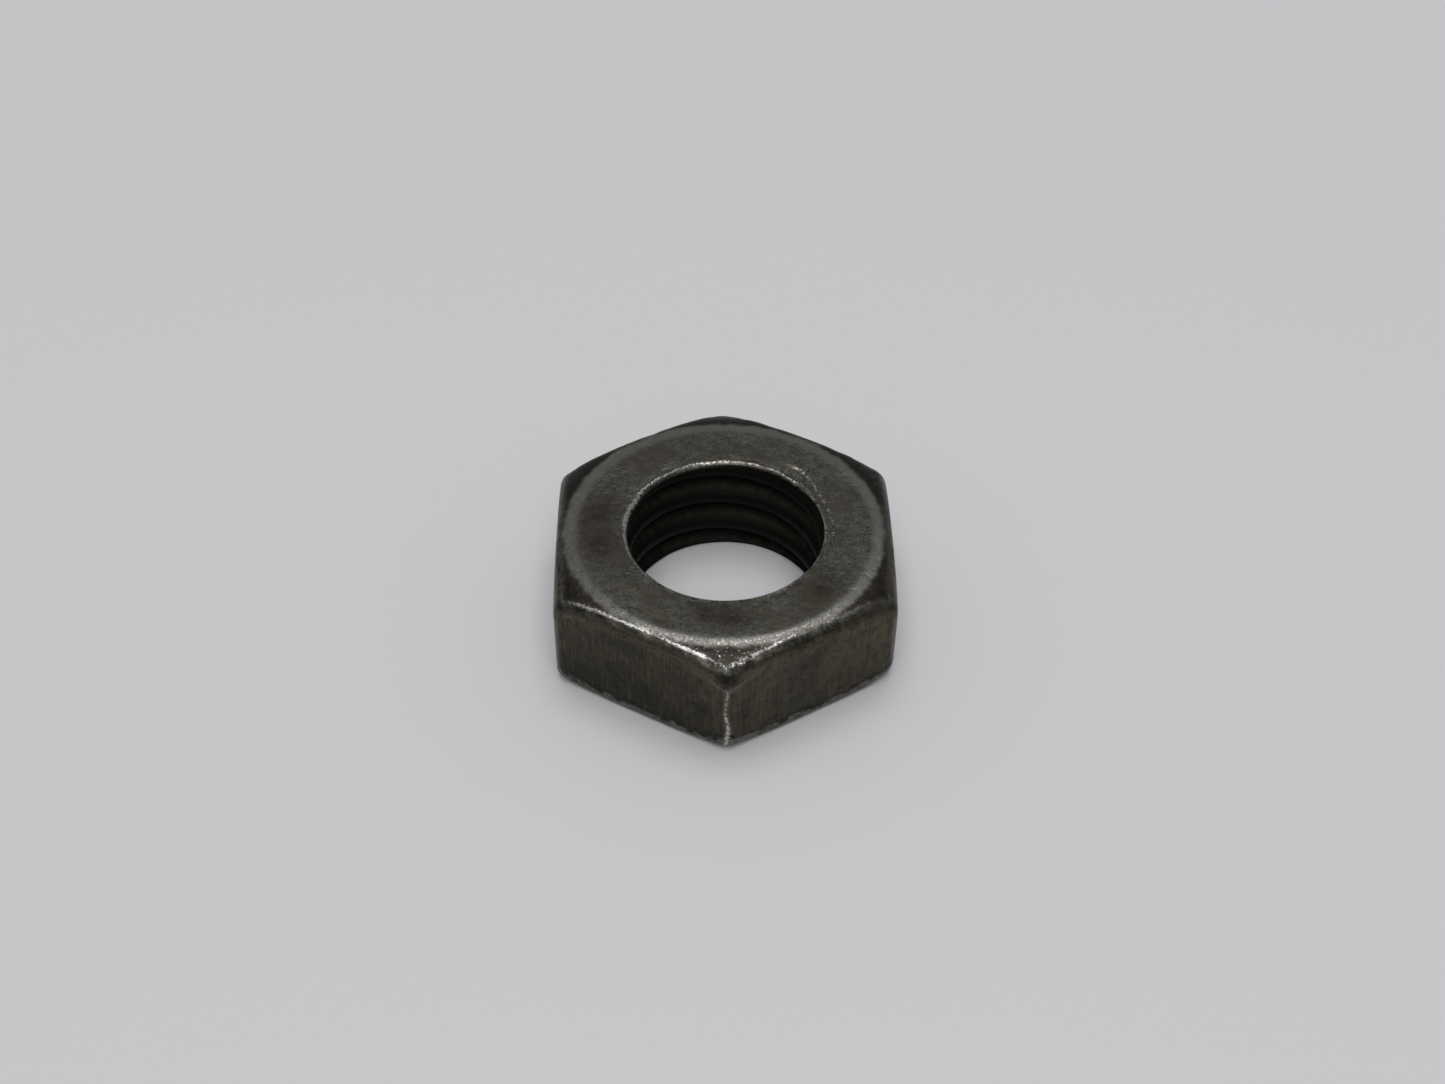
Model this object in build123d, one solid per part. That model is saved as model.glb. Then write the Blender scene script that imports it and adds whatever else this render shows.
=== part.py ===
from build123d import *

import os
from math import asin, cos, pi, radians, sin, tan

# A worn steel jam nut: a thin hexagon nut, 3/8 inch, 16 threads to the inch, right-hand.
#
# The nut is one solid piece of steel. Its origin is the middle of its bottom face, with +Z up the
# thread's axis and one corner of the hexagon towards -Y. Lengths are in millimetres.

# The hexagon
ACROSS_FLATS = 14.29
HEIGHT = 4.9
SIDES = 6
CORNER_ROUND = 0.6

# The top: a flat face that rolls over, in one wide arc, to cut the corners
TOP_FACE_RADIUS = 6.45
TOP_ROLL_RADIUS = 2.4

# The bottom: a flat face that rolls up a little under the corners
BOTTOM_FACE_RADIUS = 6.85
BOTTOM_ROLL_RADIUS = 3.2

# The thread: 60 degree form, its groove coming out of the top face at GROOVE_EXIT_ANGLE from +X
PITCH = 25.4 / 16
MAJOR_DIAMETER = 9.525
CREST_DIAMETER = 8.10
FLANK_ANGLE = 30.0
ROOT_FLAT = PITCH / 8
GROOVE_EXIT_ANGLE = 14.0

# Each mouth of the bore is worn to a round lip
MOUTH_ROUND = 0.34

# The crest of the thread is divided into short faces, this many to a turn
CREST_FACES_PER_TURN = 12

CREST_RADIUS = CREST_DIAMETER / 2
MAJOR_RADIUS = MAJOR_DIAMETER / 2
BEYOND_CORNERS = 8.6  # a radius that clears the hexagon's corners
OVERRUN = 1.0  # how far a cutting shape runs past the nut's faces
GROOVE_OVERLAP = 0.125  # how far the groove's shape reaches into the open bore
SEAM_ANGLE = 15.0  # where the turned ends' surface closes on itself, off the flats' middles
RADIUS_TOLERANCE = 1e-3


def hexagon_bar():
    """A length of hexagon bar with its long corners worn round."""
    outline = RegularPolygon(ACROSS_FLATS / 2, SIDES, major_radius=False, rotation=180 / SIDES)
    bar = extrude(outline, HEIGHT)
    return fillet(bar.edges().filter_by(Axis.Z), CORNER_ROUND)


def turned_envelope():
    """The round shape that the two ends are turned to."""

    def roll(face_height, inward, face_radius, roll_radius):
        """The arc from an end's flat face out past the corners, and its two ends."""
        last_turn = asin((BEYOND_CORNERS - face_radius) / roll_radius)

        def at(turn):
            depth = roll_radius * (1 - cos(turn))
            return face_radius + roll_radius * sin(turn), face_height + inward * depth

        return ThreePointArc(at(0), at(last_turn / 2), at(last_turn)), at(0), at(last_turn)

    top_arc, top_start, top_end = roll(HEIGHT, -1, TOP_FACE_RADIUS, TOP_ROLL_RADIUS)
    bottom_arc, bottom_start, bottom_end = roll(0, 1, BOTTOM_FACE_RADIUS, BOTTOM_ROLL_RADIUS)
    outline = Curve() + [
        Polyline(bottom_start, (0, 0), (0, HEIGHT), top_start),
        top_arc,
        Line(top_end, bottom_end),
        bottom_arc,
    ]
    return Rot(0, 0, SEAM_ANGLE) * revolve(Plane.XZ * make_face(outline), Axis.Z)


def drill():
    """The plain bore at the thread's crest."""
    align = (Align.CENTER, Align.CENTER, Align.MIN)
    return Pos(0, 0, -OVERRUN) * Cylinder(CREST_RADIUS, HEIGHT + 2 * OVERRUN, align=align)


def thread_groove():
    """The right-hand helical groove, running out past both ends of the bore."""
    turns_below_top = int(HEIGHT / PITCH) + 1
    start = HEIGHT - (turns_below_top + GROOVE_EXIT_ANGLE / 360) * PITCH
    length = HEIGHT + PITCH / 2 - start
    inner_radius = CREST_RADIUS - GROOVE_OVERLAP
    half_root = ROOT_FLAT / 2
    half_mouth = half_root + (MAJOR_RADIUS - inner_radius) * tan(radians(FLANK_ANGLE))
    profile = Polyline(
        (inner_radius, start - half_mouth),
        (MAJOR_RADIUS, start - half_root),
        (MAJOR_RADIUS, start + half_root),
        (inner_radius, start + half_mouth),
        close=True,
    )
    path = Helix(PITCH, length, MAJOR_RADIUS, center=(0, 0, start))
    return sweep(Plane.XZ * make_face(profile), path, is_frenet=True)


def mouth(face_height, inward):
    """What wear takes off one mouth of the bore, from the nut's face inward along the axis."""

    def at(radius, depth):
        return radius, face_height + inward * depth

    lip = CREST_RADIUS + MOUTH_ROUND
    quarter = MOUTH_ROUND * (1 - cos(pi / 4))
    outline = Curve() + [
        ThreePointArc(at(lip, 0), at(CREST_RADIUS + quarter, quarter), at(CREST_RADIUS, MOUTH_ROUND)),
        Polyline(
            at(CREST_RADIUS, MOUTH_ROUND),
            at(CREST_RADIUS - MOUTH_ROUND, MOUTH_ROUND),
            at(CREST_RADIUS - MOUTH_ROUND, -OVERRUN),
            at(lip, -OVERRUN),
            at(lip, 0),
        ),
    ]
    return revolve(Plane.XZ * make_face(outline), Axis.Z)


def is_crest(face):
    """True for a face of the thread's crest."""
    return face.geom_type == GeomType.CYLINDER and abs(face.radius - CREST_RADIUS) < RADIUS_TOLERANCE


def halves(face, plane):
    """The pieces of a face on both sides of a plane."""
    pieces = []
    for side in (Keep.TOP, Keep.BOTTOM):
        kept = face.split(plane, keep=side)
        kept = kept if isinstance(kept, list) else [kept]
        pieces += [piece for shape in kept if shape for piece in shape.faces()]
    return pieces


def divided(faces):
    """The crest faces cut by planes through the axis into short faces."""
    step = 2 * pi / CREST_FACES_PER_TURN
    for count in range(CREST_FACES_PER_TURN // 2):
        turn = step * (count + 0.5)
        plane = Plane((0, 0, 0), x_dir=(0, 0, 1), z_dir=(cos(turn), sin(turn), 0))
        faces = [piece for face in faces for piece in halves(face, plane)]
    return faces


def hex_nut():
    """The whole nut, one solid."""
    blank = hexagon_bar() & turned_envelope()
    threaded = blank - drill() - thread_groove()
    worn = threaded - mouth(HEIGHT, -1) - mouth(0, 1)
    faces = worn.faces()
    crest = [face for face in faces if is_crest(face)]
    others = [face for face in faces if not is_crest(face)]
    skin = Face.sew_faces(others + divided(crest))[0]
    return Solid(Shell(skin))


def main():
    os.makedirs("parts", exist_ok=True)
    nut = hex_nut()
    nut.label = "hex_nut"
    export_step(nut, "parts/hex_nut.step")
    print("hex_nut", "volume", round(nut.volume, 2), "faces", len(nut.faces()), "valid", nut.is_valid)


main()
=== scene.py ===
from math import cos, pi, radians, sin, tan

import bpy
import numpy as np
from mathutils import Matrix, Vector


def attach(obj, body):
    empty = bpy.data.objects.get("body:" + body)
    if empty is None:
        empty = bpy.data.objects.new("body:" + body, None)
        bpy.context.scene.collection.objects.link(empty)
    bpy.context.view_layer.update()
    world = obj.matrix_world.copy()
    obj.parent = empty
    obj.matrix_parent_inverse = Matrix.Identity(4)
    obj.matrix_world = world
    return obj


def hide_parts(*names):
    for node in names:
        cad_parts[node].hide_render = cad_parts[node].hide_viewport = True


# A worn steel jam nut on a pale table. The nut's surface is one closed grid of columns, which go
# round the thread's axis, and rows, which go round its section. Sizes here are in millimetres and
# azimuths in degrees, anticlockwise from +X seen from above; a mesh is scaled to metres once made.

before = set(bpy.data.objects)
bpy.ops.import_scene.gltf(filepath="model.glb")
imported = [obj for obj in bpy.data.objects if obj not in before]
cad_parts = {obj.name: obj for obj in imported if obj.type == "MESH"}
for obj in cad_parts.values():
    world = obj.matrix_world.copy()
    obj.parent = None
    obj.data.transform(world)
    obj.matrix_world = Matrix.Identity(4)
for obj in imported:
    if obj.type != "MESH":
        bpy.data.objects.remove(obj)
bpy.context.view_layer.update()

MM = 0.001
SEED = 7

# The nut, as the CAD has it
ACROSS_FLATS = 14.29
HEIGHT = 4.9
SIDES = 6
CORNER_ROUND = 0.6
TOP_ROLL_RADIUS = 2.4
BOTTOM_FACE_RADIUS = 6.85
BOTTOM_ROLL_RADIUS = 3.2
PITCH = 25.4 / 16
MAJOR_RADIUS = 9.525 / 2
CREST_RADIUS = 8.10 / 2
FLANK_ANGLE = 30.0
ROOT_FLAT = PITCH / 8
GROOVE_EXIT_ANGLE = 14.0
MOUTH_ROUND = 0.34

# What wear has changed: the width of the top face, the low step burnished round it, and the
# roundness of every edge
TOP_FACE_RADIUS = 6.6
STEP_START = 6.28
STEP_END = 6.8
STEP_DEPTH = 0.06
TOP_EDGE_ROUND = 0.30
FRONT_EDGE_ROUND = 0.50
BOTTOM_EDGE_ROUND = 0.2
ROOT_ROUND = 0.16
CREST_BLEND = 0.36
RIM_SWELL = 0.1  # how far the top rim is splayed where the first groove ran out
LEFT_RIM_SWELL = 0.06
RIM_SWELL_DEPTH = 0.35
SPECK_ARC_RADIUS = 4.60  # where the broken line outside the rim starts
SPECK_ARC_WIDENING = 0.38

# How deep each kind of wear goes
WAVES = 0.010
SMALL_WAVES = 0.005
GRAIN = 0.005
PITS = 0.012
CHIPS = 0.06
SMALL_CHIPS = 0.012
BOTTOM_CHIPS = 0.035
RIM_CHIPS = 0.02
GROOVE_STEP = 0.05
TOOL_MARKS = 0.006
KNOCK = 0.12

# Azimuths that the wear is placed from
FRONT_CORNER = -90
LEFT_CORNER = -150
RIGHT_CORNER = -30
LEFT_FLAT = -120
BACK = 90

# The grid: columns crowd towards the six corners, rows towards the edges
COLUMNS = 468
CORNER_CROWDING = 0.45
TOP_ROWS = 30
ROLL_ROWS = 28
SIDE_ROWS = 56
BOTTOM_ROLL_ROWS = 16
BOTTOM_ROWS = 12
LIP_ROWS = 7
BORE_ROWS = 57
ROLL_START = 6.2  # rows stand upright inside this radius and fan outwards beyond it
BISECTIONS = 24


# ---------------------------------------------------------------- numbers that vary smoothly


class Noise:
    """Smooth random numbers from 0 to 1 that fill space, on a lattice which repeats."""

    CELLS = 32

    def __init__(self, seed):
        self.lattice = np.random.default_rng(seed).random((self.CELLS,) * 3)

    def at(self, points, scale):
        """One value for each point of an array (..., 3), with `scale` cells to the millimetre."""
        place = points * np.asarray(scale, float) + 0.5
        low = np.floor(place).astype(int)
        part = place - low
        part = part * part * (3 - 2 * part)
        total = np.zeros(points.shape[:-1])
        for corner in np.ndindex(2, 2, 2):
            cell = (low + corner) % self.CELLS
            weight = np.prod(np.where(corner, part, 1 - part), axis=-1)
            total += weight * self.lattice[cell[..., 0], cell[..., 1], cell[..., 2]]
        return total


NOISE = Noise(SEED)


def smooth_step(low, high, value):
    """0 on the low side, 1 on the high side, and smooth between."""
    part = np.clip((value - low) / (high - low), 0, 1)
    return part * part * (3 - 2 * part)


def bell(value, middle, width):
    """1 at the middle, falling to nothing a few widths away."""
    return np.exp(-(((value - middle) / width) ** 2))


def turn_from(middle, azimuth):
    """The signed turn in degrees from `middle` to each azimuth."""
    return (azimuth - middle + 180) % 360 - 180


def round_max(first, second, radius):
    """The greater of two distances, with the edge between them rounded to a radius."""
    rounding = np.hypot(np.maximum(first + radius, 0), np.maximum(second + radius, 0))
    return np.minimum(np.maximum(first, second), -radius) + rounding


def soft_max(first, second, blend):
    """The greater of two values, blended over the range where they are nearly equal."""
    near = np.maximum(blend - np.abs(first - second), 0) / blend
    return np.maximum(first, second) + near * near * blend / 4


def crowd_end(count, amount):
    """`count` fractions from 0 up to just under 1, closer together towards the end."""
    even = np.arange(count) / count
    return even + amount * np.sin(pi * even) / pi


def crowd_start(count, amount):
    """`count` fractions from 0 up to just under 1, closer together towards the start."""
    even = np.arange(count) / count
    return even - amount * np.sin(pi * even) / pi


def crowd_both(count, amount):
    """`count` fractions from 0 up to just under 1, closer together at both ends."""
    even = np.arange(count) / count
    return even - amount * np.sin(2 * pi * even) / (2 * pi)


# ---------------------------------------------------------------- the nut's smooth surface


def hexagon_distance(x, y):
    """How far a point is outside the hexagon bar, whose long corners are round."""
    sector = 2 * pi / SIDES
    azimuth = np.arctan2(y, x)
    folded = azimuth - np.round(azimuth / sector) * sector
    radius = np.hypot(x, y)
    apothem = ACROSS_FLATS / 2 - CORNER_ROUND
    out = radius * np.cos(folded) - apothem
    along = np.abs(radius * np.sin(folded)) - apothem * tan(sector / 2)
    return np.hypot(np.maximum(out, 0), np.maximum(along, 0)) + np.minimum(out, 0) - CORNER_ROUND


def end_distance(radius, depth, face_radius, roll_radius):
    """How far a point is outside one turned end; depth runs inwards from its flat face."""
    rolled = np.hypot(radius - face_radius, np.maximum(roll_radius - depth, 0)) - roll_radius
    return np.where(radius > face_radius, rolled, -depth)


def end_depth(radius, face_radius, roll_radius):
    """How far below its flat face a turned end lies at a radius."""
    beyond = np.maximum(radius - face_radius, 0)
    return roll_radius - np.sqrt(roll_radius**2 - beyond**2)


def step_depth(radius):
    """How far the top has sunk outside the burnished step."""
    return STEP_DEPTH * smooth_step(STEP_START, STEP_END, radius)


def top_edge_round(azimuth):
    """How round wear has made the edge between the top and each flat, most at the front."""
    front = smooth_step(85, 55, np.abs(turn_from(FRONT_CORNER, azimuth)))
    return TOP_EDGE_ROUND + (FRONT_EDGE_ROUND - TOP_EDGE_ROUND) * front


def outer_distances(radius, azimuth, height):
    """How far a point is outside the nut, and outside its sides, top and bottom alone."""
    turn = np.radians(azimuth)
    side = hexagon_distance(radius * np.cos(turn), radius * np.sin(turn))
    top = end_distance(radius, HEIGHT - height - step_depth(radius), TOP_FACE_RADIUS, TOP_ROLL_RADIUS)
    bottom = end_distance(radius, height, BOTTOM_FACE_RADIUS, BOTTOM_ROLL_RADIUS)
    upper = round_max(side, top, top_edge_round(azimuth))
    return round_max(upper, bottom, BOTTOM_EDGE_ROUND), side, top, bottom


def groove_radius(azimuth, height):
    """The radius of the thread's flanks and root."""
    middle = HEIGHT + PITCH * (azimuth - GROOVE_EXIT_ANGLE) / 360
    away = np.abs((height - middle + PITCH / 2) % PITCH - PITCH / 2)
    climb = soft_max(away, ROOT_FLAT / 2, ROOT_ROUND) - ROOT_FLAT / 2
    return MAJOR_RADIUS - climb / tan(radians(FLANK_ANGLE))


def rim_swell(azimuth):
    """How far the top rim stands wide of the bore."""
    turn = turn_from(43, azimuth)
    main = smooth_step(-95, -8, turn) * smooth_step(2.5, -1, turn)
    turn = turn_from(172, azimuth)
    left = smooth_step(-2, 2, turn) * smooth_step(60, 10, turn)
    return RIM_SWELL * main + LEFT_RIM_SWELL * left


def bore_radius(azimuth, height):
    """The radius of the hole, with its thread and its two worn mouths."""
    depth = HEIGHT - height
    groove = groove_radius(azimuth, height)
    fade = smooth_step(0.05, 0.55, depth) * smooth_step(-0.1, 0.3, height)
    groove = CREST_RADIUS + (groove - CREST_RADIUS) * np.where(groove > CREST_RADIUS, fade, 1)
    radius = soft_max(groove, CREST_RADIUS, CREST_BLEND)
    for into in (depth, height):
        over = np.maximum(MOUTH_ROUND - into, 0)
        lip = CREST_RADIUS + MOUTH_ROUND - np.sqrt(MOUTH_ROUND**2 - over**2)
        radius = np.maximum(radius, lip)
    return radius + rim_swell(azimuth) * np.exp(-depth / RIM_SWELL_DEPTH)


def column_azimuths():
    """The azimuth of each column, crowded towards the corners."""
    even = np.arange(COLUMNS) / COLUMNS * 2 * pi
    return np.degrees(even + CORNER_CROWDING * np.sin(SIDES * even) / SIDES)[:, None]


def outer_section(azimuth):
    """Each column's sharp outline, as radius and height, from the top rim to the bottom rim."""
    sector = 360 / SIDES
    folded = azimuth - np.round(azimuth / sector) * sector
    edge = ACROSS_FLATS / 2 / np.cos(np.radians(folded))
    high = HEIGHT - step_depth(edge) - end_depth(edge, TOP_FACE_RADIUS, TOP_ROLL_RADIUS)
    low = end_depth(edge, BOTTOM_FACE_RADIUS, BOTTOM_ROLL_RADIUS)
    top_rim = bore_radius(azimuth, HEIGHT * np.ones_like(azimuth))
    bottom_rim = bore_radius(azimuth, np.zeros_like(azimuth))

    def run(start, end, shares):
        return start + (end - start) * shares

    top = run(top_rim, ROLL_START, crowd_start(TOP_ROWS, 0.3))
    roll = run(ROLL_START, edge, crowd_end(ROLL_ROWS, 0.3))
    side = run(high, low, crowd_both(SIDE_ROWS, 0.6))
    under = run(edge, ROLL_START, crowd_start(BOTTOM_ROLL_ROWS, 0.5))
    bottom = run(ROLL_START, bottom_rim, crowd_both(BOTTOM_ROWS, 0))
    radius = [top, roll, edge + 0 * side, under, bottom]
    height = [
        HEIGHT + 0 * top,
        HEIGHT - step_depth(roll) - end_depth(roll, TOP_FACE_RADIUS, TOP_ROLL_RADIUS),
        side,
        end_depth(under, BOTTOM_FACE_RADIUS, BOTTOM_ROLL_RADIUS),
        0 * bottom,
    ]
    return np.concatenate(radius, 1), np.concatenate(height, 1)


def rounded(azimuth, radius, height):
    """The sharp outline drawn in to the worn surface, towards a ring inside the metal."""
    middle = HEIGHT / 2
    fans = (radius > ROLL_START) | ((height > 0) & (height < HEIGHT))
    inner, outer = np.zeros_like(radius), np.ones_like(radius)
    for _ in range(BISECTIONS):
        share = (inner + outer) / 2
        outside = outer_distances(
            ROLL_START + (radius - ROLL_START) * share, azimuth, middle + (height - middle) * share
        )[0]
        inner = np.where(outside < 0, share, inner)
        outer = np.where(outside < 0, outer, share)
    share = np.where(fans, outer, 1)
    return ROLL_START + (radius - ROLL_START) * share, middle + (height - middle) * share


def bore_section(azimuth):
    """Each column's line up the hole, as radius and height, from the bottom rim to the top rim."""
    turns = np.linspace(0, pi / 2, LIP_ROWS, endpoint=False)
    lip = MOUTH_ROUND * (1 - np.cos(turns))
    wall = np.linspace(MOUTH_ROUND, HEIGHT - MOUTH_ROUND, BORE_ROWS, endpoint=False)
    top_lip = HEIGHT - np.append(MOUTH_ROUND, lip[:0:-1])
    height = np.concatenate([lip, wall, top_lip]) + 0 * azimuth
    return bore_radius(azimuth, height), height


def grid_points(azimuth, radius, height):
    turn = np.radians(azimuth) + 0 * radius
    return np.stack([radius * np.cos(turn), radius * np.sin(turn), height], -1)


def grid_normals(points):
    """The outward direction at each point of the closed grid."""
    across = np.roll(points, -1, 0) - np.roll(points, 1, 0)
    along = np.roll(points, -1, 1) - np.roll(points, 1, 1)
    normal = np.cross(along, across)
    return normal / np.linalg.norm(normal, axis=-1, keepdims=True)


# ---------------------------------------------------------------- where a point is on the nut

DEEPEST_CORNER = 1.2  # the top's corners, rolled over, all lie within this of the top face


class Places:
    """Where each point of the grid is, in the terms that wear is described in."""

    def __init__(self, azimuth, radius, height, in_bore):
        self.azimuth = azimuth + 0 * radius
        self.radius = radius
        self.height = height
        self.points = grid_points(azimuth, radius, height)
        self.bore = in_bore + 0 * radius
        self.outer = 1 - self.bore
        self.upper = smooth_step(-0.2, 0.2, height - HEIGHT + DEEPEST_CORNER) * self.outer
        _, side, top, bottom = outer_distances(radius, self.azimuth, height)
        self.over_edge = self.across_edge(side, top, top_edge_round(self.azimuth))
        self.over_bottom_edge = self.across_edge(bottom, side, BOTTOM_EDGE_ROUND)
        self.right = smooth_step(4, 14, self.turn(FRONT_CORNER))
        self.far_right = smooth_step(18, 45, self.turn(FRONT_CORNER))

    @staticmethod
    def across_edge(lower, upper, round_radius):
        """The way over a rounded edge: negative before it, 0 where it starts to turn."""
        first, second = lower + round_radius, upper + round_radius
        turning = round_radius * np.arctan2(np.maximum(first, 0), np.maximum(second, 1e-9))
        beyond = np.where(second < 0, round_radius * pi / 2 - second, turning)
        return np.where(first < 0, first, beyond)

    def turn(self, azimuth):
        """The signed turn in degrees from an azimuth to each point."""
        return turn_from(azimuth, self.azimuth)

    def facing(self, azimuth, none, full):
        """1 within `full` degrees of an azimuth, falling to 0 at `none` degrees."""
        return smooth_step(none, full, np.abs(self.turn(azimuth)))

    def around(self, azimuth, width):
        """1 at an azimuth, falling off over a width in degrees."""
        return bell(self.turn(azimuth), 0, width)

    def noise(self, scale, shift=0.0):
        """A smooth random number from 0 to 1 at each point; each shift gives another pattern."""
        return NOISE.at(self.points + shift, scale)

    def patches(self, low, high, scale, shift=0.0):
        """1 where the noise is above `high` and 0 where it is below `low`."""
        return smooth_step(low, high, self.noise(scale, shift))

    def wander(self, reach, scale, shift):
        """A smooth random distance, up to half of `reach` either way."""
        return reach * (self.noise(scale, shift) - 0.5)

    def near(self, azimuth, height, width, tall):
        """1 at a place on the sides, falling off over a width and a height."""
        across = np.radians(self.turn(azimuth)) * self.radius
        return bell(across, 0, width) * bell(self.height, height, tall) * self.outer

    def near_on_top(self, azimuth, radius, size, long):
        """1 at a place on the top, falling off over a size and, round the axis, over a length."""
        across = np.radians(self.turn(azimuth)) * self.radius
        return bell(across, 0, long) * bell(self.radius, radius, size) * self.upper

    def off_corner(self):
        """The way round from the nearest corner's line, which wanders a little."""
        sector = 360 / SIDES
        turn = (self.azimuth % sector) - sector / 2
        return np.radians(turn) * self.radius + self.wander(0.32, 0.9, 17)

    def jagged_over_bottom(self):
        """The way over the bottom edge, made jagged."""
        return self.over_bottom_edge + self.wander(0.24, 2.6, 19) + self.wander(0.24, 5.8, 43)

    def wavy_over_edge(self, reach):
        """The way over the top edge, made wavy."""
        return self.over_edge + self.wander(reach, 1.3, 11)


def speck_arc(azimuth):
    """The radius of the broken line outside the rim, where the first groove closed over."""
    return SPECK_ARC_RADIUS + SPECK_ARC_WIDENING * smooth_step(22, 50, turn_from(0, azimuth))


def speck_arc_length(azimuth):
    """1 along the broken line outside the rim."""
    turn = turn_from(20, azimuth)
    return smooth_step(-42, -28, turn) * smooth_step(38, 30, turn)


# ---------------------------------------------------------------- metal lost, in millimetres


def uneven_depth(place):
    """Broad waves and fine grain over the whole surface, and pits outside the bore."""
    waves = WAVES * place.noise(0.45) + SMALL_WAVES * place.noise(1.6, 5)
    grain = GRAIN * place.noise(6.5, 9)
    pits = PITS * place.patches(0.7, 0.9, 4.6, 2) * place.outer
    return waves + grain + pits


def top_edge_depth(place):
    """Chips along the worn edges above the flats, mostly at the front."""
    crest = bell(place.over_edge, 0.15, 0.2) * place.outer
    crest = crest * (0.35 + 0.65 * place.facing(FRONT_CORNER, 100, 60))
    chips = CHIPS * place.patches(0.45, 0.85, 1.7, 4)
    return crest * (chips + SMALL_CHIPS * place.patches(0.4, 0.8, 6.0, 6))


def bottom_edge_depth(place):
    """A ragged line above the bottom edge."""
    line = bell(place.over_bottom_edge, -0.12, 0.12) * place.outer
    return BOTTOM_CHIPS * line * place.patches(0.35, 0.65, (2.8, 2.8, 1.6), 8)


def rim_depth(place):
    """The low step where the first groove closed over, and small chips round the bore's rim."""
    step = smooth_step(0.06, -0.06, place.radius - speck_arc(place.azimuth))
    closed = GROOVE_STEP * step * speck_arc_length(place.azimuth) * place.upper
    rim = bell(place.radius, CREST_RADIUS + MOUTH_ROUND, 0.2) * place.upper
    return closed + RIM_CHIPS * rim * place.patches(0.3, 0.8, 2.2, 3)


def flat_depth(place):
    """Upright tool marks on the flats."""
    on_flats = smooth_step(0.3, 0.6, place.over_edge) * place.outer
    return TOOL_MARKS * on_flats * place.noise((7, 7, 0.5), 1)


def knocked_corner_depth(place):
    """A knock that has pushed in the foot of the right-hand corner."""
    foot = smooth_step(0.9, 0.2, place.height) * place.outer
    return KNOCK * place.around(RIGHT_CORNER, 4) * foot


def wear_depth(place):
    """How far wear has taken the surface down."""
    kinds = (
        uneven_depth,
        top_edge_depth,
        bottom_edge_depth,
        rim_depth,
        flat_depth,
        knocked_corner_depth,
    )
    return sum(kind(place) for kind in kinds)


# ---------------------------------------------------------------- finishes, and painted light and shade, from 0 to 1

# How brightly each kind of edge is rubbed
CREST_SHINE = 0.58
RING_SHINE = 0.06
FRONT_RING_SHINE = 0.34
FRONT_CHAMFER_SHINE = 0.27
RIM_SHINE = 0.66
SPECK_SHINE = 0.46
BURR_SHINE = 0.5
CORNER_SHINE = 0.32

# Spots on the top: azimuth, radius and size
RUST_SPOTS = ((170, 5.5, 0.4), (190, 5.4, 0.4), (-99, 5.0, 0.3), (-88, 5.3, 0.25), (-42, 5.3, 0.35))

# Marks on the sides: azimuth, height up the side, how wide and how tall
SMUDGES = (
    (-97.5, 2.0, 0.35, 0.7),
    (-84.0, 2.1, 0.3, 0.6),
    (-119.0, 3.8, 0.06, 0.22),
    (-128.0, 2.3, 0.5, 0.6),
    (-63.0, 3.4, 0.45, 0.35),
)
GREEN_STAIN = (-66.0, 1.3, 0.42, 0.18)


def crest_mask(place):
    """The bright edges above the two front flats, broken and fainter towards the right."""
    crest = bell(place.wavy_over_edge(0.10), 0.10, 0.085) * place.upper
    crest = crest * (0.7 + 0.6 * place.noise(2.1, 41)) * place.facing(FRONT_CORNER, 76, 50)
    crest = crest * (1 - 0.45 * place.right * place.patches(0.35, 0.6, 0.9, 13))
    return crest * (1 - 0.6 * place.far_right) * (1 - 0.6 * place.around(FRONT_CORNER, 5))


def ring_edge(place):
    """Each point's radius, shifted unevenly, by which the burnished ring ends."""
    return place.radius + place.wander(0.16, 3.2, 61) - 0.1 * place.around(130, 60)


def ring_mask(place):
    """The ring round the top face, burnished by what the nut was tightened against."""
    ring = smooth_step(6.12, 6.5, place.radius) * smooth_step(6.92, 6.60, ring_edge(place))
    ring = ring * smooth_step(0.15, -0.05, place.over_edge) * place.upper
    return ring * (1 - 0.6 * place.around(LEFT_CORNER, 30))


def chamfer_mask(place):
    """The rolled corners of the top, outside the ring."""
    beyond_ring = smooth_step(6.70, 6.92, ring_edge(place))
    return beyond_ring * smooth_step(0.15, 0.0, place.over_edge) * place.upper


def rim_shine(place):
    """The polished rim of the bore, narrower at the back."""
    rear = place.facing(BACK, 75, 35)
    middle = CREST_RADIUS + 0.16 + 0.07 * rear + place.wander(0.10, 1.6, 31)
    rim = bell(place.radius, middle, 0.14 - 0.07 * rear)
    rim = rim * smooth_step(HEIGHT - 0.34, HEIGHT - 0.12, place.height)
    return (RIM_SHINE - 0.07 * rear) * rim * (0.85 + 0.3 * place.noise(2.7, 37))


def speck_mask(place):
    """The broken line of bright specks outside the rim."""
    arc = bell(place.radius, speck_arc(place.azimuth), 0.09)
    return arc * speck_arc_length(place.azimuth) * place.upper


def burr_mask(place):
    """A bright burr low in the bore, at the back."""
    return place.around(60, 7) * bell(place.height, 0.32, 0.1) * place.bore


def below_top(place):
    return smooth_step(0.55, 0.75, place.over_edge) * place.outer


def lower_half(place):
    return smooth_step(3.0, 0.6, place.height)


def corner_line_mask(place):
    """The pale worn line down each corner, wider below and weaker away from the front."""
    line = bell(place.off_corner(), 0, 0.09 + 0.06 * lower_half(place)) * below_top(place)
    return line * (0.35 + 0.65 * place.facing(FRONT_CORNER, 50, 30))


def under_line_mask(place):
    """A thin pale line a little below the top edges, near the front corner and on the left flat."""
    near_corner = bell(place.off_corner(), 0, 1.3) * place.facing(FRONT_CORNER, 40, 20)
    where = np.maximum(near_corner, 0.4 * place.around(LEFT_FLAT, 22))
    return bell(place.wavy_over_edge(0.12), 0.72, 0.06) * place.outer * where


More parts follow.
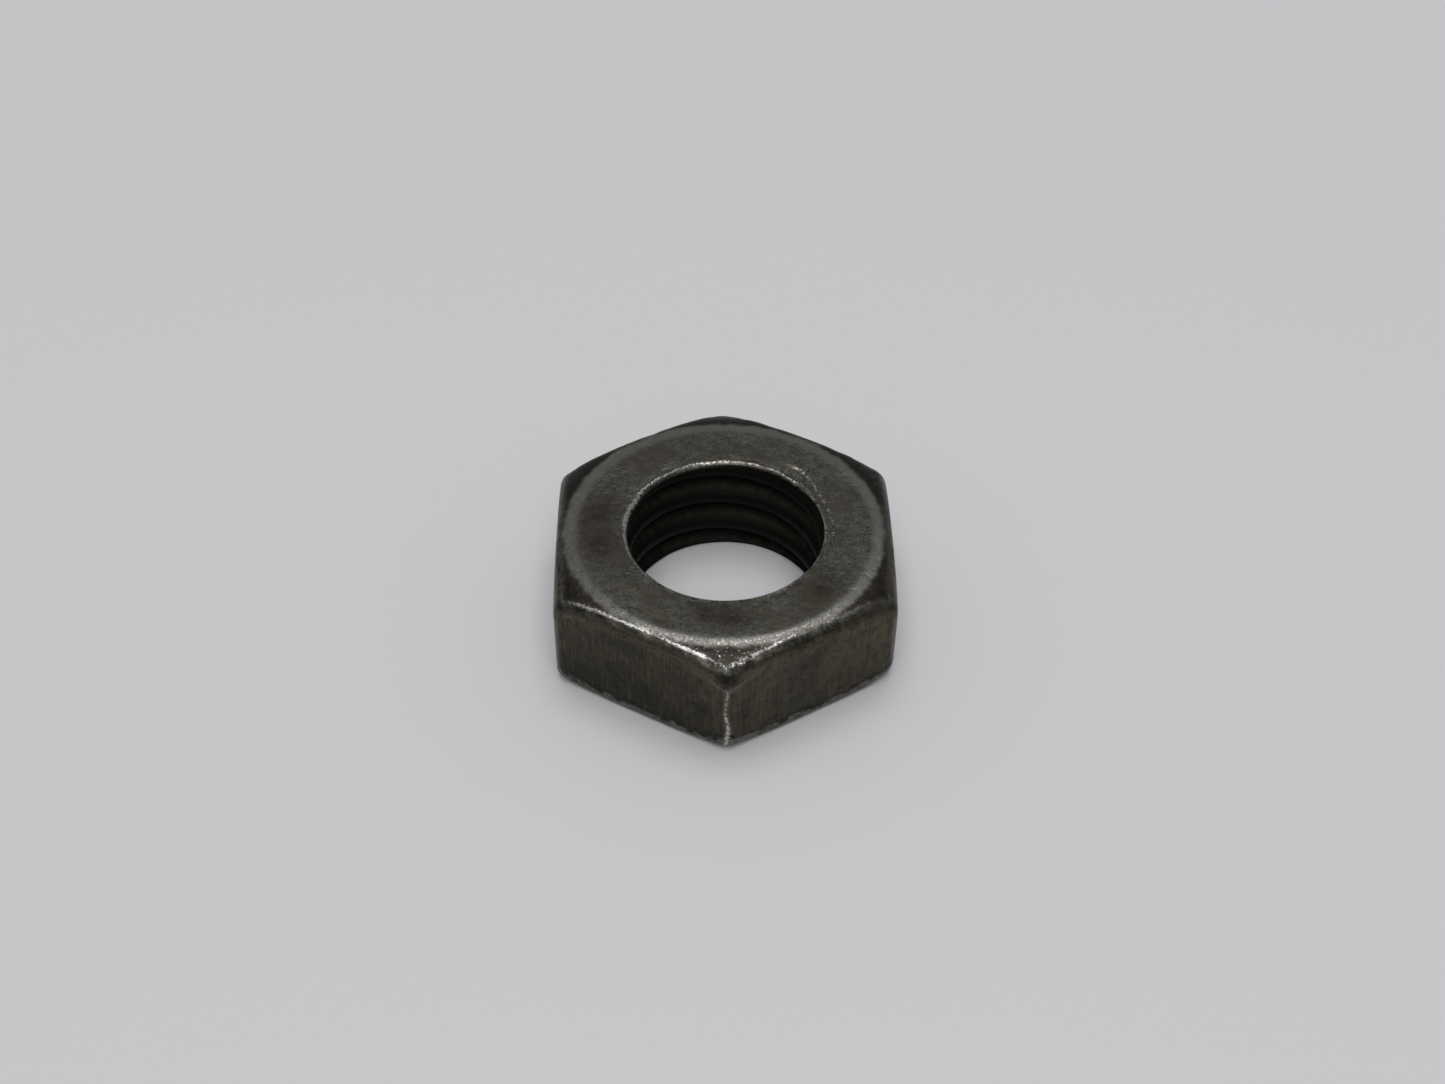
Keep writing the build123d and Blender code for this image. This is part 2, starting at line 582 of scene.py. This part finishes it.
def lip_mask(place):
    """The pale jagged lip along the foot of the sides."""
    above = smooth_step(-0.23, -0.13, place.jagged_over_bottom())
    under = smooth_step(0.31, 0.2, place.over_bottom_edge)
    return above * under * place.outer * (0.2 + 1.3 * place.noise(4.7, 47))


def shine_mask(place):
    """Bare, rubbed metal."""
    front = place.facing(-92, 78, 30)
    crest = CREST_SHINE * crest_mask(place)
    ring = (RING_SHINE + FRONT_RING_SHINE * front) * ring_mask(place)
    chamfer = FRONT_CHAMFER_SHINE * front * chamfer_mask(place)
    corner = CORNER_SHINE + 0.2 * lower_half(place) + 0.2 * place.noise(2.9, 59)
    corner = corner * corner_line_mask(place)
    specks = SPECK_SHINE * speck_mask(place) + BURR_SHINE * burr_mask(place)
    return crest + ring + chamfer + corner + specks + rim_shine(place)


def worn_mask(place):
    """Metal rubbed pale but not bright."""
    lines = corner_line_mask(place) + 0.6 * under_line_mask(place)
    edge = 0.35 * bell(place.over_edge, 0.05, 0.12) * place.outer
    return lines + lip_mask(place) + edge


def grime_mask(place):
    """Darkening: painted shade in the band under the crest, dirt in the smudges, and darker above the
    lip, beside the corners and at their tops.
    """
    band = place.wavy_over_edge(0.1)
    # The band under the crest is painted shade, for the dark that the downward-turned rounding shows.
    under_crest = smooth_step(0.12, 0.18, band) * smooth_step(0.38, 0.26, band) * place.outer
    under_crest = under_crest * (0.4 + 0.6 * place.noise(1.9, 53) + 0.15 * place.right)
    under_crest = under_crest * (1 - 0.6 * place.far_right)
    low = place.jagged_over_bottom()
    above_lip = smooth_step(-0.16, -0.24, low) * smooth_step(-0.48, -0.34, low) * place.outer
    in_crook = bell(place.off_corner(), 0, 0.33) * bell(place.over_edge, 0.46, 0.2) * place.outer
    beside_corner = bell(place.off_corner(), -0.24, 0.1) * below_top(place)
    smudges = sum(place.near(*smudge) for smudge in SMUDGES)
    return 0.8 * under_crest + above_lip + 0.85 * in_crook + 0.4 * beside_corner + 0.5 * smudges


def shoulder_mask(place):
    """A painted highlight along the top of the left flat, where it starts to turn over."""
    shoulder_highlight = 0.7 * bell(place.over_edge, 0.47, 0.16) * (1 - 0.8 * place.right)
    return shoulder_highlight * place.outer * (1 - 0.9 * place.around(FRONT_CORNER, 5))


def spots_on_top(place, across, along):
    """1 at each rust spot, spread to multiples of its size across and along the ring."""
    return sum(
        place.near_on_top(azimuth, radius, across * size, along * size)
        for azimuth, radius, size in RUST_SPOTS
    )


def rust_mask(place):
    """Reddish spots on the top."""
    return spots_on_top(place, 1.0, 1.4)


def stain_mask(place):
    """The wide brown stain round each rust spot."""
    return spots_on_top(place, 2.2, 3.5)


def green_mask(place):
    return place.near(*GREEN_STAIN)


def flats_mask(place):
    """The sides, down to the foot."""
    return smooth_step(0.25, 0.5, place.over_edge) * place.outer * smooth_step(0, 0.3, place.height)


def high_mask(place):
    """How much paler the sides are: more towards the top, and more at the right of the front, which is
    painted light, as that flat catches more light than the left.
    """
    return 0.4 * smooth_step(0.8, 4.3, place.height) + 0.5 * place.facing(-50, 70, 20)


def bore_mask(place):
    return place.bore * smooth_step(HEIGHT - 0.06, HEIGHT - 0.22, place.height)


def land_mask(place):
    """Painted shade on the thread's crests and roots, and darker over some of the back of the bore."""
    groove = place.radius - CREST_RADIUS
    dark = smooth_step(0.36, 0.08, groove) + smooth_step(0.42, 0.72, groove)
    return bore_mask(place) * (dark + 0.35 * place.around(BACK, 40))


# The mesh carries each mask under the name that the material reads it by
MASKS = {
    "shine": shine_mask,
    "worn": worn_mask,
    "ring": ring_mask,
    "chamfer": chamfer_mask,
    "shoulder_highlight": shoulder_mask,
    "grime_and_shade": grime_mask,
    "rust": rust_mask,
    "stain": stain_mask,
    "green": green_mask,
    "flats": flats_mask,
    "high": high_mask,
    "bore": bore_mask,
    "thread_shade": land_mask,
}


# ---------------------------------------------------------------- the nut's mesh


def nut_grid():
    """The worn surface's points in millimetres, and its masks."""
    azimuth = column_azimuths()
    outer_radius, outer_height = rounded(azimuth, *outer_section(azimuth))
    hole_radius, hole_height = bore_section(azimuth)
    radius = np.concatenate([outer_radius, hole_radius], 1)
    height = np.concatenate([outer_height, hole_height], 1)
    in_bore = np.arange(radius.shape[1]) >= outer_radius.shape[1]
    place = Places(azimuth, radius, height, in_bore.astype(float))
    depth = wear_depth(place)[..., None]
    values = {name: np.clip(mask(place), 0, 1) for name, mask in MASKS.items()}
    return place.points - grid_normals(place.points) * depth, values


def grid_mesh(name, points, values):
    """A closed mesh of four-sided faces from a grid that joins up both ways."""
    columns, rows = points.shape[:2]
    index = np.arange(columns * rows).reshape(columns, rows)
    right, down = np.roll(index, -1, 0), np.roll(index, -1, 1)
    faces = np.stack([index, down, np.roll(right, -1, 1), right], -1).reshape(-1, 4)
    mesh = bpy.data.meshes.new(name)
    mesh.vertices.add(index.size)
    mesh.vertices.foreach_set("co", (points * MM).astype(np.float32).ravel())
    mesh.loops.add(faces.size)
    mesh.loops.foreach_set("vertex_index", faces.astype(np.int32).ravel())
    mesh.polygons.add(len(faces))
    mesh.polygons.foreach_set("loop_start", np.arange(0, faces.size, 4, dtype=np.int32))
    mesh.update(calc_edges=True)
    mesh.polygons.foreach_set("use_smooth", np.ones(len(faces), bool))
    for key, value in values.items():
        layer = mesh.attributes.new(key, "FLOAT", "POINT")
        layer.data.foreach_set("value", value.astype(np.float32).ravel())
    mesh.validate()
    return mesh


# ---------------------------------------------------------------- materials


class Nodes:
    """Short ways to add shader nodes to one material or world."""

    def __init__(self, tree):
        self.tree = tree
        tree.nodes.clear()

    def add(self, kind, settings=None, **inputs):
        node = self.tree.nodes.new(kind)
        for key, value in (settings or {}).items():
            setattr(node, key, value)
        for key, value in inputs.items():
            self.feed(node, key.replace("_", " "), value)
        return node

    def feed(self, node, socket, value):
        socket = node.inputs[int(socket) if socket.isdigit() else socket]
        if isinstance(value, bpy.types.NodeSocket):
            self.tree.links.new(value, socket)
        else:
            socket.default_value = value

    def math(self, operation, *values):
        node = self.add("ShaderNodeMath", {"operation": operation})
        for place, value in enumerate(values):
            self.feed(node, str(place), value)
        return node.outputs[0]

    def share(self, mask, amount):
        return self.math("MULTIPLY", mask, amount)

    def mask(self, name):
        return self.add("ShaderNodeAttribute", {"attribute_name": name}).outputs["Fac"]

    def noise(self, where, scale, detail=3.0, rough=0.55):
        node = self.add("ShaderNodeTexNoise", Vector=where, Scale=scale, Detail=detail, Roughness=rough)
        return node.outputs["Fac"]

    def step(self, value, low, high):
        """0 at `low`, 1 at `high`, and smooth between."""
        node = self.add("ShaderNodeMapRange", {"interpolation_type": "SMOOTHSTEP"})
        self.feed(node, "Value", value)
        self.feed(node, "From Min", low)
        self.feed(node, "From Max", high)
        return node.outputs["Result"]

    def ramp(self, value, low, high):
        """A straight run from `low` where the value is 0 to `high` where it is 1."""
        node = self.add("ShaderNodeMapRange")
        self.feed(node, "Value", value)
        self.feed(node, "To Min", low)
        self.feed(node, "To Max", high)
        return node.outputs["Result"]

    def mix(self, share, first, second):
        node = self.add("ShaderNodeMix", {"data_type": "RGBA"})
        self.feed(node, "0", share)
        for socket, value in ((node.inputs[6], first), (node.inputs[7], second)):
            if isinstance(value, bpy.types.NodeSocket):
                self.tree.links.new(value, socket)
            else:
                socket.default_value = (*value, 1.0)
        return node.outputs[2]


# The steel's colours
OXIDE_DARK = (0.064, 0.061, 0.050)
OXIDE_LIGHT = (0.162, 0.157, 0.132)
OXIDE_BROWN = (0.090, 0.081, 0.063)
BURNISHED = (0.250, 0.243, 0.222)
WORN = (0.19, 0.18, 0.157)
STAIN = (0.056, 0.050, 0.038)
RUST = (0.052, 0.040, 0.034)
BARE = (0.51, 0.495, 0.465)
# Dark for dirt, and for painted shade under the crest
GRIME_AND_SHADE = (0.013, 0.013, 0.014)
# Partly the chamfer's own oxide, partly painted shade
CHAMFER_OXIDE_AND_SHADE = (0.026, 0.023, 0.019)
# The flats' colours are darkened as painted shade; the paler one also paints light on the right-hand
# front flat
FLATS_LOW = (0.038, 0.033, 0.021)
FLATS_HIGH = (0.096, 0.083, 0.053)
FLATS_LINES = (0.110, 0.098, 0.068)
# A pale brown painted highlight where the left flat turns over
SHOULDER_HIGHLIGHT = (0.180, 0.161, 0.117)
GREEN = (0.026, 0.040, 0.028)
FLANKS = (0.062, 0.055, 0.042)
# Painted shade for the thread's crests and roots
THREAD_SHADE = (0.017, 0.016, 0.014)

BARE_ROUGHNESS = 0.26
GRAIN_DEPTH = 0.02
UPRIGHT = (1.0, 1.0, 0.09)  # draws the noise out into lines that stand upright


def millimetres(nodes, stretch=(1.0, 1.0, 1.0)):
    """Places in the object, in millimetres, stretched by a factor on each axis."""
    where = nodes.add("ShaderNodeTexCoord").outputs["Object"]
    node = nodes.add("ShaderNodeVectorMath", {"operation": "MULTIPLY"})
    nodes.feed(node, "0", where)
    nodes.feed(node, "1", tuple(part / MM for part in stretch))
    return node.outputs[0]


def top_colour(nodes, tone, fine, broad):
    """Mottled oxide, brown where it has aged, stained in places and paler where it is burnished."""
    speckle = nodes.math("MULTIPLY_ADD", fine, 0.6, nodes.math("MULTIPLY", tone, 0.4))
    colour = nodes.mix(nodes.step(speckle, 0.38, 0.62), OXIDE_DARK, OXIDE_LIGHT)
    colour = nodes.mix(nodes.share(nodes.step(broad, 0.42, 0.66), 0.7), colour, OXIDE_BROWN)
    colour = nodes.mix(nodes.share(nodes.mask("stain"), 0.75), colour, STAIN)
    colour = nodes.mix(nodes.share(nodes.mask("rust"), nodes.step(tone, 0.66, 0.44)), colour, RUST)
    return nodes.mix(nodes.share(nodes.mask("ring"), 0.8), colour, BURNISHED)


def flats_colour(nodes, tone, lines, broad):
    """Olive brown and darkened as painted shade, paler higher up and painted lighter on the right-hand
    front flat, with upright tool marks, dirt and one green stain.
    """
    colour = nodes.mix(nodes.mask("high"), FLATS_LOW, FLATS_HIGH)
    colour = nodes.mix(nodes.share(nodes.step(lines, 0.50, 0.70), 0.5), colour, FLATS_LINES)
    colour = nodes.mix(nodes.share(nodes.step(lines, 0.50, 0.32), 0.4), colour, GRIME_AND_SHADE)
    colour = nodes.mix(nodes.share(nodes.step(tone, 0.54, 0.38), 0.5), colour, GRIME_AND_SHADE)
    colour = nodes.mix(nodes.share(nodes.step(broad, 0.50, 0.36), 0.35), colour, GRIME_AND_SHADE)
    return nodes.mix(nodes.share(nodes.mask("green"), nodes.step(tone, 0.3, 0.5)), colour, GREEN)


def chamfer_colour(nodes, tone):
    """Dark brown, a little uneven: partly the chamfer's own darker oxide and partly painted shade,
    where these rolled corners catch little light.
    """
    paler = tuple(1.5 * part for part in CHAMFER_OXIDE_AND_SHADE)
    return nodes.mix(nodes.step(tone, 0.36, 0.66), CHAMFER_OXIDE_AND_SHADE, paler)


def bore_colour(nodes, tone):
    """Oily steel on the thread's flanks; its crests and roots nearly black as painted shade."""
    darker = tuple(part / 2 for part in FLANKS)
    flanks = nodes.mix(nodes.step(tone, 0.62, 0.40), FLANKS, darker)
    return nodes.mix(nodes.mask("thread_shade"), flanks, THREAD_SHADE)


def steel_colour(nodes, where, tone, fine, lines, bare):
    """Each region's colour, with painted shade and highlight where the masks put them, dirt in the pits
    and bare metal over the rest.
    """
    broad = nodes.noise(where, 0.45, 3)
    colour = top_colour(nodes, tone, fine, broad)
    colour = nodes.mix(nodes.mask("flats"), colour, flats_colour(nodes, tone, lines, broad))
    # The painted highlight where the left flat turns over
    shoulder_highlight = nodes.share(nodes.mask("shoulder_highlight"), nodes.step(fine, 0.25, 0.55))
    colour = nodes.mix(shoulder_highlight, colour, SHOULDER_HIGHLIGHT)
    chamfer = nodes.share(nodes.mask("chamfer"), nodes.step(fine, 0.85, 0.55))
    colour = nodes.mix(chamfer, colour, chamfer_colour(nodes, tone))
    colour = nodes.mix(nodes.share(nodes.step(fine, 0.42, 0.30), 0.6), colour, GRIME_AND_SHADE)
    colour = nodes.mix(nodes.share(nodes.mask("worn"), nodes.step(fine, 0.30, 0.52)), colour, WORN)
    colour = nodes.mix(nodes.mask("bore"), colour, bore_colour(nodes, tone))
    # Dirt, and painted shade under the crest
    colour = nodes.mix(nodes.share(nodes.mask("grime_and_shade"), nodes.step(tone, 0.75, 0.35)), colour, GRIME_AND_SHADE)
    return nodes.mix(bare, colour, BARE)


def steel_bump(nodes, tone, fine, lines):
    """Grain finer than the mesh, scored upright on the flats."""
    grain = nodes.math("MULTIPLY", fine, 0.6)
    grain = nodes.math("ADD", grain, nodes.math("MULTIPLY", tone, 0.9))
    scored = nodes.math("MULTIPLY", nodes.mask("flats"), lines)
    grain = nodes.math("ADD", grain, nodes.math("MULTIPLY", scored, 0.5))
    return nodes.add("ShaderNodeBump", Strength=0.8, Distance=GRAIN_DEPTH * MM, Height=grain).outputs[0]


def steel_roughness(nodes, tone, bare):
    """Satin oxide, duller in the bore and smoother where it is bare."""
    matt = nodes.math("MULTIPLY_ADD", nodes.mask("bore"), 0.28, nodes.ramp(tone, 0.30, 0.46))
    rough = nodes.add("ShaderNodeMix", {"data_type": "FLOAT"})
    nodes.feed(rough, "0", bare)
    nodes.feed(rough, "2", matt)
    nodes.feed(rough, "3", BARE_ROUGHNESS)
    return rough.outputs[0]


def steel_material():
    """Dark oxide steel, rubbed bright where the shine mask and the grain agree."""
    material = bpy.data.materials.new("worn_steel")
    material.use_nodes = True
    nodes = Nodes(material.node_tree)
    where = millimetres(nodes)
    tone = nodes.noise(where, 2.6, 6, 0.7)
    fine = nodes.noise(where, 9.0, 4, 0.7)
    lines = nodes.noise(millimetres(nodes, UPRIGHT), 9.0, 3, 0.6)
    rub = nodes.math("MULTIPLY_ADD", fine, 1.5, -0.75)
    bare = nodes.step(nodes.math("ADD", nodes.mask("shine"), rub), 0.36, 0.64)
    shader = nodes.add("ShaderNodeBsdfPrincipled", Metallic=1.0)
    nodes.feed(shader, "Base Color", steel_colour(nodes, where, tone, fine, lines, bare))
    nodes.feed(shader, "Roughness", steel_roughness(nodes, tone, bare))
    nodes.feed(shader, "Normal", steel_bump(nodes, tone, fine, lines))
    output = nodes.add("ShaderNodeOutputMaterial")
    nodes.feed(output, "Surface", shader.outputs[0])
    return material


FLOOR_COLOUR = (0.78, 0.775, 0.775)


def floor_material():
    """Plain pale laminate with a faint satin gloss."""
    material = bpy.data.materials.new("table")
    material.use_nodes = True
    nodes = Nodes(material.node_tree)
    shader = nodes.add("ShaderNodeBsdfPrincipled", Roughness=0.5)
    nodes.feed(shader, "Base Color", (*FLOOR_COLOUR, 1.0))
    nodes.feed(shader, "Specular IOR Level", 0.25)
    output = nodes.add("ShaderNodeOutputMaterial")
    nodes.feed(output, "Surface", shader.outputs[0])
    return material


# ---------------------------------------------------------------- the scene


def add_object(name, data):
    made = bpy.data.objects.new(name, data)
    bpy.context.scene.collection.objects.link(made)
    return made


def build_nut():
    points, values = nut_grid()
    nut = add_object("nut", grid_mesh("nut", points, values))
    nut.data.materials.append(steel_material())
    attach(nut, "root")
    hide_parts("hex_nut")


FLOOR_SIZE = 4.0


def build_floor():
    half = FLOOR_SIZE / 2
    corners = [(-half, -half, 0), (half, -half, 0), (half, half, 0), (-half, half, 0)]
    mesh = bpy.data.meshes.new("table")
    mesh.from_pydata(corners, [], [(0, 1, 2, 3)])
    floor = add_object("table", mesh)
    mesh.materials.append(floor_material())


# The camera: how it looks at the middle of the nut's bottom face
LENS = 49.88
SENSOR = 36.0
LOOK_DOWN = 44.01
HEADING = -1.127
ROLL = 0.482
DISTANCE = 88.11
AIM_RIGHT = -0.06
AIM_UP = 2.952


def build_camera():
    down, roll = radians(LOOK_DOWN), radians(ROLL)
    forward = Vector((0, cos(down), -sin(down)))
    right = Vector((1, 0, 0))
    up = Vector((0, sin(down), cos(down)))
    across = right * cos(roll) + up * sin(roll)
    upward = up * cos(roll) - right * sin(roll)
    place = across * AIM_RIGHT + upward * AIM_UP - forward * DISTANCE
    turn = Matrix((across, upward, -forward)).transposed().to_4x4()
    data = bpy.data.cameras.new("camera")
    data.lens = LENS
    data.sensor_width = SENSOR
    data.clip_start = 0.005
    data.clip_end = 10.0
    camera = add_object("camera", data)
    heading = Matrix.Rotation(radians(HEADING), 4, "Z")
    camera.matrix_world = heading @ Matrix.Translation(place * MM) @ turn
    bpy.context.scene.camera = camera


# The lamps: name, elevation from the back, watts and colour
LAMP_SIZE = 0.9
LAMP_DISTANCE = 1.5
LAMPS = (
    ("key", 81, 6.6, (1.0, 1.0, 1.0)),
    ("fill", 120, 7.0, (0.95, 0.97, 1.0)),
)


def soft_box(name, place, energy, colour):
    """A square lamp that faces the nut."""
    data = bpy.data.lights.new(name, "AREA")
    data.shape = "SQUARE"
    data.size = LAMP_SIZE
    data.energy = energy
    data.color = colour
    lamp = add_object(name, data)
    lamp.location = place
    lamp.rotation_euler = (-Vector(place)).to_track_quat("-Z", "Y").to_euler()


ROOM_DIM = (0.13, 0.135, 0.15)
ROOM_PALE = (0.29, 0.29, 0.295)
BACKDROP = (0.50, 0.50, 0.50)


def build_world():
    """A pale room: light at the back and overhead, dim on the side that the camera is on."""
    world = bpy.data.worlds.new("room")
    bpy.context.scene.world = world
    world.use_nodes = True
    nodes = Nodes(world.node_tree)
    where = nodes.add("ShaderNodeTexCoord").outputs["Generated"]
    parts = nodes.add("ShaderNodeSeparateXYZ", Vector=where)
    back = nodes.step(parts.outputs["Y"], -0.6, 0.2)
    seen = nodes.add("ShaderNodeLightPath").outputs["Is Camera Ray"]
    room = nodes.mix(back, ROOM_DIM, ROOM_PALE)
    colour = nodes.mix(seen, room, BACKDROP)
    background = nodes.add("ShaderNodeBackground", Color=colour, Strength=1.0)
    output = nodes.add("ShaderNodeOutputWorld")
    nodes.feed(output, "Surface", background.outputs[0])


def aimed_from(elevation, distance):
    """A place behind and above the nut, at an elevation from the back; past 90 is in front."""
    turn = radians(elevation)
    return 0.0, distance * cos(turn), distance * sin(turn)


def build_lights():
    for name, elevation, energy, colour in LAMPS:
        soft_box(name, aimed_from(elevation, LAMP_DISTANCE), energy, colour)


def set_look():
    view = bpy.context.scene.view_settings
    view.view_transform = "Standard"
    view.look = "None"


build_nut()
build_floor()
build_camera()
build_world()
build_lights()
set_look()
